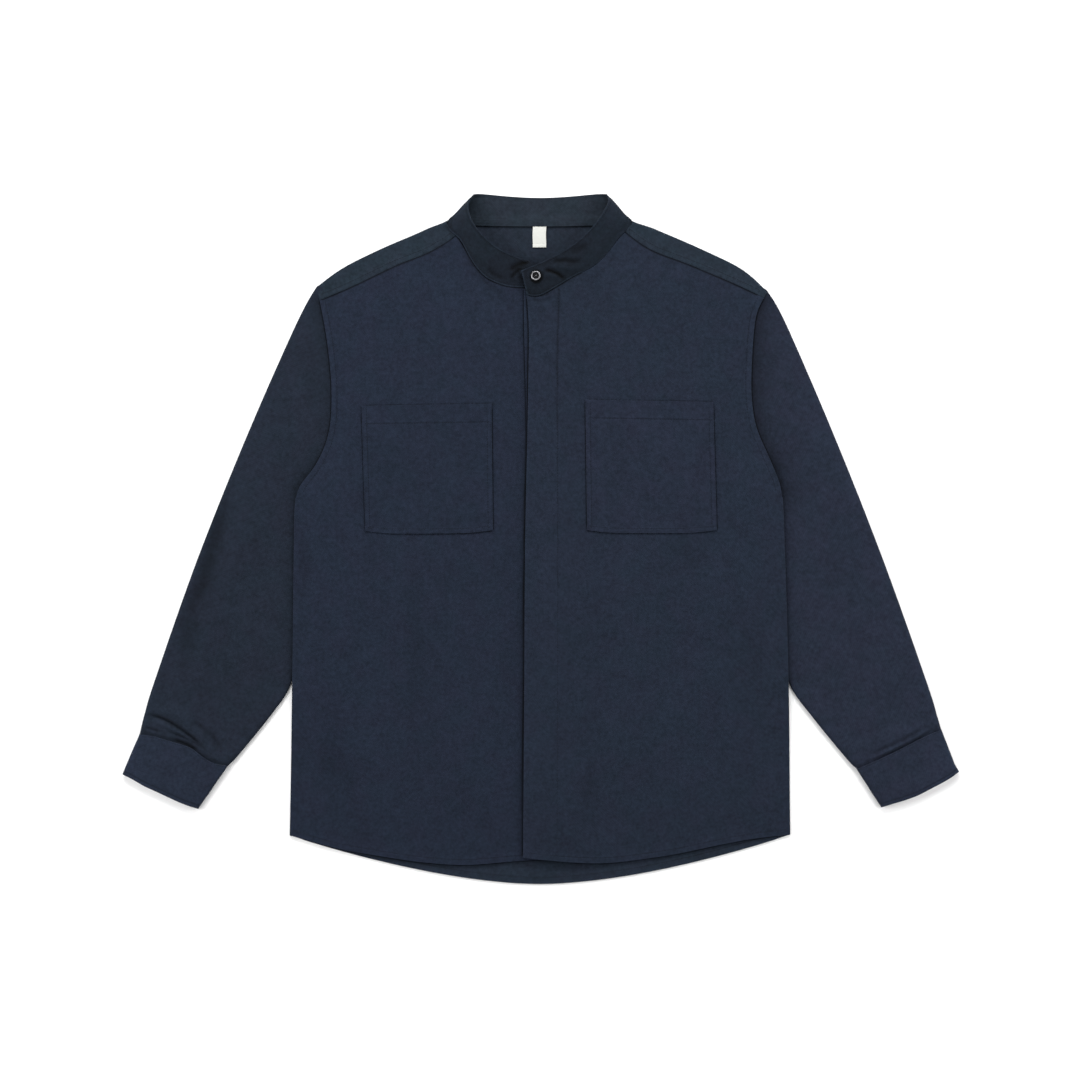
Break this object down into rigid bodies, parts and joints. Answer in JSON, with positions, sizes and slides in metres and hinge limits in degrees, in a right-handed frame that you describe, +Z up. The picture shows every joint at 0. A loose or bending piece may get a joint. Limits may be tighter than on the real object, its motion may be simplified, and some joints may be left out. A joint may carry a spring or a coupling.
{
  "type": "shirt jacket laid flat",
  "caption": "Shirt jacket with a band collar, concealed placket, patch chest pockets and plain cuffs, lying flat on its back.",
  "frame": {"origin": "centre of the laid garment's bounding box in plan, on the surface it lies on", "axes": "+X to the wearer's left across the sleeves, +Y to the collar, +Z up out of the fronts"},
  "size_m": [0.9596, 0.7912, 0.0204],
  "materials": {
    "jacket_cloth": "matt midnight-blue cotton with a fine brushed weave",
    "button_metal": "satin nickel rim round a dark recess",
    "label_tape": "off-white woven tape, left bare"
  },
  "bodies": {
    "root": {"back": "jacket_cloth", "yoke": "jacket_cloth", "front_right": "jacket_cloth", "front_left": "jacket_cloth", "placket": "jacket_cloth", "collar_band": "jacket_cloth", "pocket_right": "jacket_cloth", "pocket_left": "jacket_cloth", "sleeve_right": "jacket_cloth", "sleeve_left": "jacket_cloth", "cuff_right": "jacket_cloth", "cuff_left": "jacket_cloth", "collar_button": "button_metal", "neck_label": "label_tape"}
  },
  "joints": []
}
